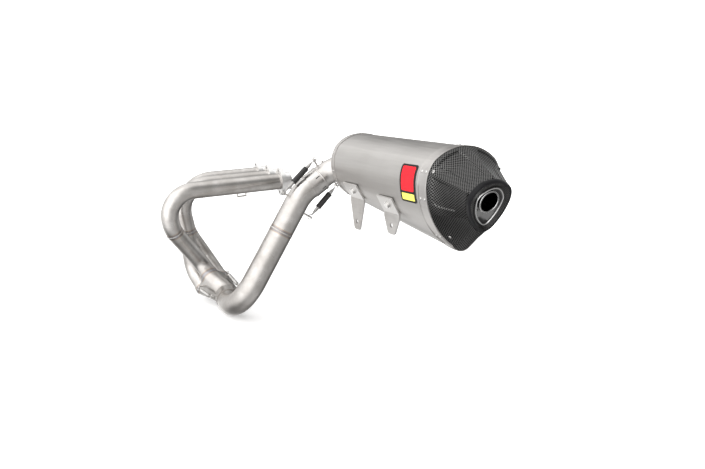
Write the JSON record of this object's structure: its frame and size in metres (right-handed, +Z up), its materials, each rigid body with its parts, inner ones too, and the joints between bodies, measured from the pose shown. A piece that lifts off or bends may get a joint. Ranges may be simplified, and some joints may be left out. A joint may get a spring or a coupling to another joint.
{
  "type": "racing exhaust system",
  "caption": "Titanium motorcycle exhaust: header pipes with loose flanges join a collector, a sprung link pipe and a hexagonal muffler with a carbon end cap.",
  "frame": {"origin": "centre of the middle flange's bolt circle, in the flange's tube-side face", "axes": "+X runs along the ports into the cylinder head, +Y along the row of ports away from the muffler, +Z up"},
  "size_m": [0.4375, 0.8866, 0.4087],
  "materials": {
    "machined_titanium": "fine machined, pale",
    "titanium_tube": "satin brushed, warm grey",
    "titanium_sleeve": "bead blasted, satin",
    "titanium_rod": "drawn rod, satin",
    "titanium_sheet": "sheet, satin",
    "spring_steel": "bright drawn wire",
    "black_rubber": "moulded, matt",
    "fastener_steel": "bright",
    "carbon_fibre": "twill weave under clear coat",
    "polished_steel": "polished",
    "glass_wool": "matted fibre",
    "badge_black": "printed, satin"
  },
  "bodies": {
    "headers": {"collector_hooks": "titanium_rod", "collector_merge": "titanium_tube", "collector_outlet": "titanium_tube", "collector_springs": "spring_steel", "crossover_cup_front": "titanium_tube", "crossover_cup_rear": "titanium_tube", "crossover_hooks": "titanium_rod", "crossover_springs_front": "spring_steel", "crossover_springs_rear": "spring_steel", "crossover_tube_front": "titanium_tube", "crossover_tube_rear": "titanium_tube", "header_lower_front": "titanium_tube", "header_lower_middle": "titanium_tube", "header_lower_rear": "titanium_tube", "header_upper_front": "titanium_tube", "header_upper_middle": "titanium_tube", "header_upper_rear": "titanium_tube", "inlet_cup_front": "titanium_tube", "inlet_cup_middle": "titanium_tube", "inlet_cup_rear": "titanium_tube", "spigot_front": "machined_titanium", "spigot_middle": "machined_titanium", "spigot_rear": "machined_titanium", "rear_header_hook": "titanium_rod"},
    "flange_front": {"flange_front": "machined_titanium"},
    "flange_middle": {"flange_middle": "machined_titanium"},
    "flange_rear": {"flange_rear": "machined_titanium"},
    "link_pipe": {"link_cup_hooks": "titanium_rod", "link_pipe_hooks": "titanium_rod", "link_pipe_lower": "titanium_tube", "link_pipe_upper": "titanium_tube", "muffler_spring_back": "spring_steel", "muffler_spring_left": "spring_steel", "muffler_spring_right": "spring_steel", "rubber_sleeve_back": "black_rubber", "rubber_sleeve_left": "black_rubber", "rubber_sleeve_right": "black_rubber"},
    "muffler": {"badge_plate": "badge_black", "bracket_bolts": "fastener_steel", "bracket_front": "titanium_sheet", "bracket_rear": "titanium_sheet", "cap_screws": "fastener_steel", "carbon_end_cap": "carbon_fibre", "inlet_band": "titanium_sheet", "inlet_cap": "titanium_tube", "inlet_pipe": "titanium_tube", "inlet_pipe_hooks": "titanium_rod", "inlet_rivets": "fastener_steel", "muffler_core": "titanium_sheet", "outer_sleeve": "titanium_sleeve", "outlet_band": "titanium_sheet", "outlet_front_rivets": "fastener_steel", "outlet_liner": "polished_steel", "outlet_plate": "titanium_sheet", "outlet_rear_rivets": "fastener_steel", "sound_packing": "glass_wool"},
    "damper": {"damper_tube": "polished_steel", "damper_screw": "fastener_steel"}
  },
  "joints": [
    {"name": "flange_front_slide", "type": "slide", "parent": "headers", "child": "flange_front", "axis": [-0.999, 0, -0.0455], "range_m": [0, 0.03]},
    {"name": "flange_middle_slide", "type": "slide", "parent": "headers", "child": "flange_middle", "axis": [-0.999, 0, -0.0455], "range_m": [0, 0.03]},
    {"name": "flange_rear_slide", "type": "slide", "parent": "headers", "child": "flange_rear", "axis": [-0.999, 0, -0.0455], "range_m": [0, 0.03]},
    {"name": "link_pipe_swivel", "type": "hinge", "parent": "headers", "child": "link_pipe", "pos_m": [-0.146, -0.13, -0.258], "axis": [-0.145, -0.9736, -0.1761], "range_deg": [-3, 3]},
    {"name": "muffler_swivel", "type": "hinge", "parent": "link_pipe", "child": "muffler", "pos_m": [0.038, -0.243, 0.022], "axis": [0.8208, -0.0178, 0.571], "range_deg": [-2.5, 2.5]},
    {"name": "damper_slide", "type": "slide", "parent": "muffler", "child": "damper", "axis": [0, -0.9511, -0.309], "range_m": [0, 0.06]}
  ]
}
